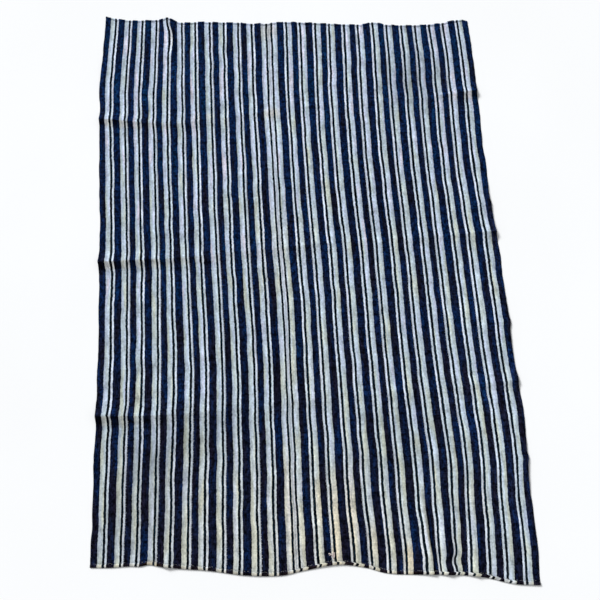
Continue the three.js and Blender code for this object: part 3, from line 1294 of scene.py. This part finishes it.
    def quads(self, rows: int, columns: int) -> np.ndarray:
        """Faces of the closed strip: a ring of points for each row, and two ends.

        Args:
            rows: how many rows the mesh has.
            columns: how many columns its face has.

        Returns:
            The point numbers of each face.
        """
        ring = 2 * columns
        start = np.arange(rows - 1)[:, None] * ring
        here = np.arange(ring)[None]
        after = (here + 1) % ring
        sides = np.stack([start + here, start + after, start + ring + after, start + ring + here], -1)
        face = np.arange(columns - 1)
        under = ring - 1 - face
        near = np.stack([under, under - 1, face + 1, face], -1)
        far = near[:, ::-1] + (rows - 1) * ring
        return np.concatenate([sides.reshape(-1, 4), near, far])

    def declare(self, piece: Piece) -> None:
        """Hides the strip's solid and hangs the strip on the body; its flat length is worked out but not
        used.

        Args:
            piece: the strip's object.
        """
        lay = self.lay
        seam = np.array([self.number + 0.5])
        length = float((lay.top(seam) - lay.bottom(seam))[0])
        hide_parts(self.name)
        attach(piece, BODY)


class Strands:
    """Many short lengths of thread, joined into one mesh."""

    SIDES = 6
    CAP = ((0, 1, 2, 3), (0, 3, 4, 5))
    TIP = 0.45
    TINY = 1e-9

    def __init__(self) -> None:
        """Starts with no thread."""
        self.points: list[np.ndarray] = []
        self.quads: list[np.ndarray] = []
        self.places: list[np.ndarray] = []
        self.count = 0

    def add(self, paths: np.ndarray, radius: float) -> None:
        """Adds threads along paths.

        Args:
            paths: points of each thread, threads first, in millimetres.
            radius: the thread's radius, which is less at both ends.
        """
        threads, steps, _ = paths.shape
        ahead = np.gradient(paths, axis=1)
        ahead /= np.linalg.norm(ahead, axis=2, keepdims=True) + self.TINY
        side = np.cross(ahead, np.array([0.0, 0.0, 1.0]))
        side /= np.linalg.norm(side, axis=2, keepdims=True) + self.TINY
        up = np.cross(side, ahead)
        angle = 2 * np.pi * np.arange(self.SIDES) / self.SIDES
        girth = np.full(steps, radius)
        girth[[0, -1]] *= self.TIP
        spokes = side[:, :, None] * np.cos(angle)[:, None] + up[:, :, None] * np.sin(angle)[:, None]
        points = paths[:, :, None] + spokes * girth[None, :, None, None]
        spans = np.linalg.norm(np.diff(paths, axis=1), axis=2)
        length = np.concatenate([np.zeros((threads, 1)), np.cumsum(spans, axis=1)], axis=1)
        places = np.broadcast_arrays(length[:, :, None], angle[None, None], paths[:, :, None, 0])
        ring = np.arange(steps - 1)[:, None] * self.SIDES
        beyond = ring + self.SIDES
        here = np.arange(self.SIDES)[None]
        after = (here + 1) % self.SIDES
        walls = np.stack([ring + here, beyond + here, beyond + after, ring + after], -1)
        cap = np.array(self.CAP)
        last = (steps - 1) * self.SIDES
        one = np.concatenate([walls.reshape(-1, 4), cap, cap[:, ::-1] + last])
        step = steps * self.SIDES
        shift = self.count + np.arange(threads)[:, None, None] * step
        self.points.append(points.reshape(-1, 3))
        self.places.append(np.stack(places, -1).reshape(-1, 3))
        self.quads.append((one[None] + shift).reshape(-1, 4))
        self.count += threads * step

    def build(self, name: str, finish: Material) -> Piece:
        """Makes the joined mesh.

        Args:
            name: the piece's name.
            finish: the thread's material.

        Returns:
            The object.
        """
        piece = new_piece(name, np.concatenate(self.points), np.concatenate(self.quads), finish)
        store(piece, "strand", np.concatenate(self.places))
        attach(piece, BODY)
        return piece


class Stitching:
    """A row of stitches sewn by hand, which the seams and the hems share."""

    LENGTHS = (0.7, 1.25)
    pitch: float
    uneven: float
    missing: float

    def places(self, draw: np.random.Generator, low: float, high: float) -> np.ndarray:
        """Where the stitches fall along their row, uneven and some of them missing.

        Args:
            draw: the row's own seeded draws.
            low: where the row starts.
            high: where the row ends.

        Returns:
            The middle of each stitch.
        """
        places = np.arange(low, high, self.pitch)
        places = places + draw.uniform(-self.uneven, self.uneven, len(places)) * self.pitch
        return places[draw.random(len(places)) > self.missing]


@dataclass
class SeamStitching(Stitching):
    """The slanting whip stitches that join two strips."""

    lay: ClothLay
    seam: int
    pitch: float = 7.0
    margin: float = 4.0
    reach: float = 2.3
    bends: tuple[float, ...] = (-1.0, -0.55, 0.55, 1.0)
    slant: float = 3.4
    slants: tuple[float, float] = (0.5, 1.3)
    radius: float = 0.42
    arch: float = 0.5
    sink: float = 0.5
    bite: float = 0.15
    uneven: float = 0.35
    missing: float = 0.06
    seed: int = 100

    def build(self, finish: Material) -> Piece:
        """Sews the seam from the bottom hem to the top one.

        Args:
            finish: the thread's material.

        Returns:
            The seam's stitches, joined.
        """
        lay = self.lay
        draw = np.random.default_rng(self.seed + self.seam)
        low = float(lay.bottom(self.seam)) + lay.bottom_hem.width + self.margin
        high = float(lay.top(self.seam)) - lay.top_hem.width - self.margin
        places = self.places(draw, low, high)
        share = np.array(self.bends)
        lift = np.array([-self.sink, self.arch, self.arch, -self.sink])
        reach = self.reach * draw.uniform(*self.LENGTHS, len(places))[:, None]
        y = places[:, None] + share * self.slant * draw.uniform(*self.slants, len(places))[:, None] / 2
        points, _ = lay.surface(self.seam + share * reach / lay.strip_width, y)
        points[..., 2] += lift - self.bite
        strands = Strands()
        strands.add(points, self.radius)
        return strands.build(f"seam_stitches_{self.seam:02d}", finish)


@dataclass
class HemStitching(Stitching):
    """The running stitches that hold one rolled hem."""

    lay: ClothLay
    end: End
    pitch: float = 4.4
    margins: tuple[float, float] = (6.0, 8.0)
    length: float = 3.0
    bends: tuple[float, ...] = (-0.5, -0.3, 0.3, 0.5)
    lifts: tuple[float, ...] = (-0.55, 0.3, 0.3, -0.55)
    strays: tuple[float, float] = (-0.7, 0.9)
    off_bottom: float = 1.0
    off_top: float = 0.6
    side_margin: float = 0.01
    radius: float = 0.3
    uneven: float = 0.2
    missing: float = 0.3
    seed: int = 41

    def build(self, finish: Material) -> Piece:
        """Sews along the inner side of the hem's roll.

        Args:
            finish: the thread's material.

        Returns:
            The hem's stitches, joined.
        """
        lay = self.lay
        draw = np.random.default_rng(self.seed)
        places = self.places(draw, self.margins[0], lay.strip_count * lay.strip_width - self.margins[1])
        length = self.length * draw.uniform(*self.LENGTHS, len(places))[:, None]
        seam = (places[:, None] + np.array(self.bends) * length) / lay.strip_width
        seam = np.clip(seam, self.side_margin, lay.strip_count - self.side_margin)
        stray = draw.uniform(*self.strays, len(places))[:, None]
        if self.end is End.BOTTOM:
            y = lay.bottom(seam) + lay.bottom_hem.width + self.off_bottom + stray
        else:
            y = lay.top(seam) - lay.top_hem.width - self.off_top - stray
        points, _ = lay.surface(seam, y)
        points[..., 2] += np.array(self.lifts)
        strands = Strands()
        strands.add(points, self.radius)
        return strands.build(f"hem_stitches_{self.end.value}", finish)


@dataclass
class WornSpot:
    """A small worn place near the bottom hem where white threads have come loose in loops."""

    lay: ClothLay
    seam: float = 6.98
    inset: float = 22.0
    strands: int = 6
    radius: float = 0.36
    stray: float = 0.5
    rise: float = 2.4
    rises: tuple[float, float] = (0.5, 1.0)
    swing: float = 0.15
    bends: int = 16
    seed: int = 77

    def build(self, finish: Material) -> Piece:
        """Lays each loop as a frayed bundle of threads.

        Args:
            finish: the thread's material.

        Returns:
            The loops, joined.
        """
        lay = self.lay
        draw = np.random.default_rng(self.seed)
        base = lay.bottom(np.array(self.seam)) + self.inset
        bundle = Strands()
        for loop in LOOPS:
            share = np.linspace(0, 1, self.bends)[None]
            angle = np.radians(loop.start + loop.sweep * share)
            jitter = draw.normal(0, self.stray, (2, self.strands, 1))
            swing = 1 + draw.uniform(-self.swing, self.swing, (self.strands, 1))
            across = loop.x + loop.across * swing * np.cos(angle) + jitter[0]
            along = loop.y + loop.along * swing * np.sin(angle) + jitter[1]
            points, _ = lay.surface(self.seam + across / lay.strip_width, base + along)
            rise = self.rise * draw.uniform(*self.rises, (self.strands, 1))
            points[..., 2] += rise * np.sin(np.pi * share)
            bundle.add(points, self.radius)
        return bundle.build("worn_threads", finish)


@dataclass
class Studio:
    """The pale floor, the soft light and the camera."""

    eye: tuple[float, float, float] = (4.0, -523.5, 1619.9)
    tilt: float = 14.745
    roll: float = -2.774
    lens: float = 37.2
    sensor: float = 36.0
    floor_half: float = 6.0
    floor_drop: float = 0.0004
    sun_strength: float = 3.6
    sun_softness: float = 20.0
    sun_from: tuple[float, float, float] = (-0.75, 1.0, 0.85)
    light_colour: Colour = (0.97, 0.985, 1.0)
    sky_strength: float = 0.385

    def build(self) -> None:
        """Sets up the floor, the lights and the camera."""
        self.lay_floor()
        self.hang_lights()
        self.set_camera()
        bpy.context.scene.view_settings.view_transform = "Standard"

    def lay_floor(self) -> None:
        """Lays the floor just under the cloth."""
        half, low = self.floor_half / MM, -self.floor_drop / MM
        corners = np.array([[-half, -half, low], [half, -half, low], [half, half, low], [-half, half, low]])
        floor = new_piece("floor", corners, np.array([[0, 1, 2, 3]]), PaleFloor().build())
        floor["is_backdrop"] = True

    def hang_lights(self) -> None:
        """Hangs one broad soft light towards the top of the cloth and lights the room evenly."""
        sun = bpy.data.lights.new("window_light", "SUN")
        sun.energy = self.sun_strength
        sun.angle = math.radians(self.sun_softness)
        sun.color = self.light_colour
        lamp = bpy.data.objects.new("window_light", sun)
        lamp.rotation_euler = Vector(self.sun_from).to_track_quat("Z", "Y").to_euler()
        bpy.context.scene.collection.objects.link(lamp)
        world = bpy.data.worlds.new("room")
        world.use_nodes = True
        back = world.node_tree.nodes["Background"]
        back.inputs["Color"].default_value = (*self.light_colour, 1.0)
        back.inputs["Strength"].default_value = self.sky_strength
        bpy.context.scene.world = world

    def set_camera(self) -> None:
        """Sets the camera high over the near end, looking almost straight down."""
        data = bpy.data.cameras.new("camera")
        data.lens = self.lens
        data.sensor_width = self.sensor
        camera = bpy.data.objects.new("camera", data)
        tilt, roll = math.radians(self.tilt), math.radians(self.roll)
        turn = Matrix.Rotation(tilt, 4, "X") @ Matrix.Rotation(roll, 4, "Z")
        camera.matrix_world = Matrix.Translation(Vector(self.eye) * MM) @ turn
        bpy.context.scene.collection.objects.link(camera)
        bpy.context.scene.camera = camera


@dataclass
class StripCloth:
    """The whole cloth: strips in order from the left edge, and the sewing that joins them."""

    lay: ClothLay
    turned_from: int = 6

    def build(self) -> list[Piece]:
        """Makes every piece of the cloth.

        Returns:
            The pieces, strips first.
        """
        cotton = StripedCotton().build()
        thread, navy_thread, soiled_thread, loose_thread = (
            finish.build() for finish in (UNDYED_THREAD, NAVY_THREAD, SOILED_THREAD, LOOSE_THREAD)
        )
        pieces = []
        for number in range(self.lay.strip_count):
            turn = Turn.TURNED if number >= self.turned_from else Turn.AS_WOVEN
            strip = WovenStrip(self.lay, number, turn)
            piece = strip.build(cotton)
            strip.declare(piece)
            pieces.append(piece)
        pieces += [SeamStitching(self.lay, seam).build(thread) for seam in range(1, self.lay.strip_count)]
        pieces.append(HemStitching(self.lay, End.BOTTOM).build(soiled_thread))
        pieces.append(HemStitching(self.lay, End.TOP).build(navy_thread))
        pieces.append(WornSpot(self.lay).build(loose_thread))
        return pieces


def write_sizes() -> None:
    """Works out the box of the solids and the box of the dressed cloth, but writes them nowhere."""
    boxes = {"cad": CAD_BOX, "visual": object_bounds()}
    {name: [list(corner) for corner in box] for name, box in boxes.items()}


def main() -> None:
    """Builds the studio and the cloth, and reports each piece."""
    logging.basicConfig(level=logging.INFO, format="%(name)s: %(message)s")
    Studio().build()
    for piece in StripCloth(ClothLay()).build():
        log.info("%s: %d faces", piece.name, len(piece.data.polygons))
    write_sizes()


if __name__ == "__main__":
    main()
